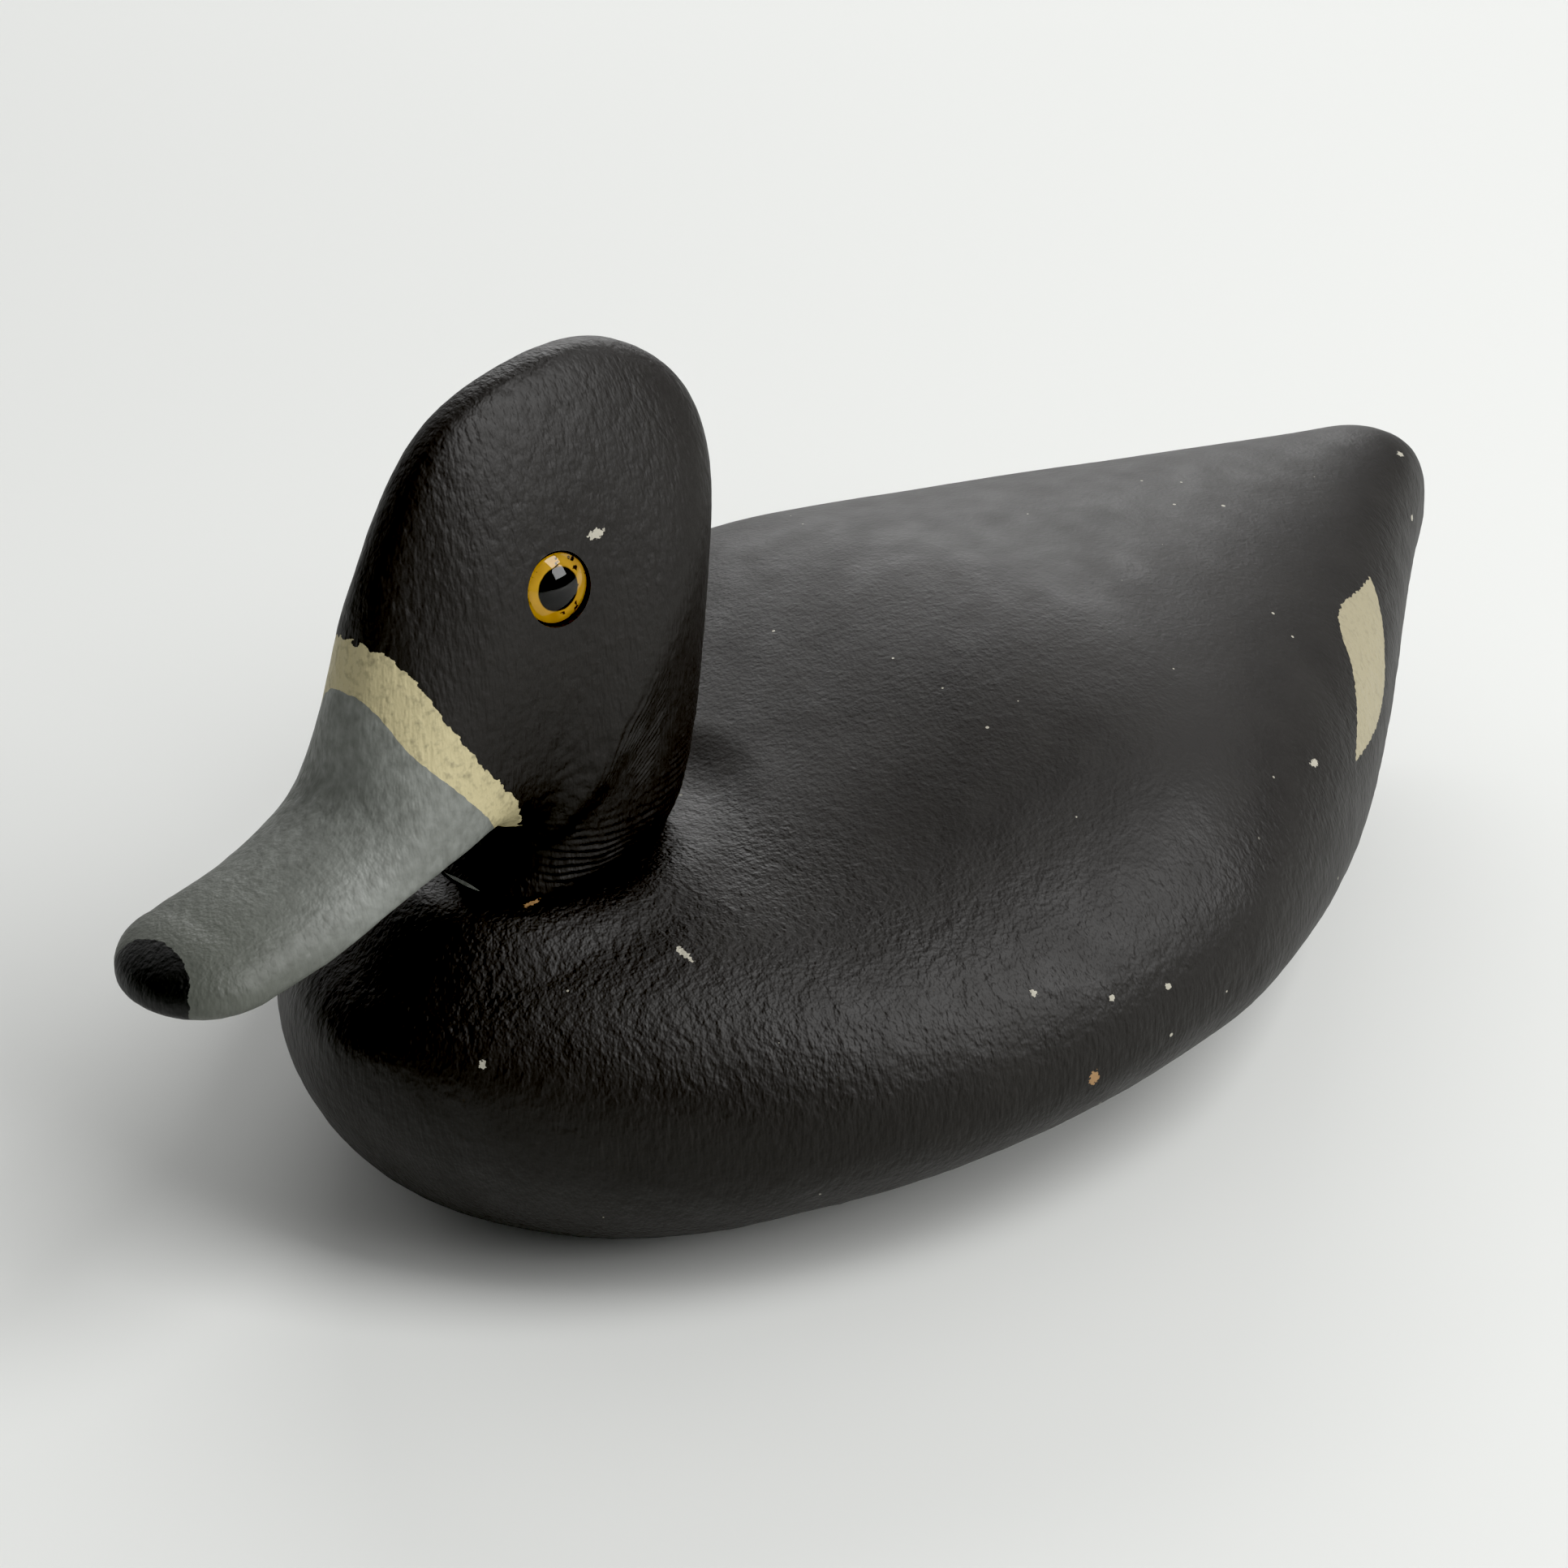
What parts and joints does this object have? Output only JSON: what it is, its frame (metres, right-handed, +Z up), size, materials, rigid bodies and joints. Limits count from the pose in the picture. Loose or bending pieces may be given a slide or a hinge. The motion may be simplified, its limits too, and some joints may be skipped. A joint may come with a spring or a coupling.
{
  "type": "duck decoy",
  "caption": "Carved and painted wooden duck decoy with a separate head, yellow glass eyes and a planed flat underside.",
  "frame": {"origin": "on the planed underside, below the middle of the whole length from bill tip to tail tip", "axes": "+Y towards the tail, the duck faces -Y; +X is the duck's left; +Z up"},
  "size_m": [0.168, 0.333, 0.1454],
  "materials": {
    "body_paint": "dark brown-black paint, satin, brushed and worn",
    "head_paint": "dark brown-black paint with a blue-grey bill, a cream band and a black nail",
    "eye_glass": "polished clear glass",
    "eye_iris": "amber enamel behind the glass with a black pupil"
  },
  "bodies": {
    "root": {"body": "body_paint", "head": "head_paint", "eye_left": "eye_glass", "eye_right": "eye_glass"}
  },
  "joints": []
}
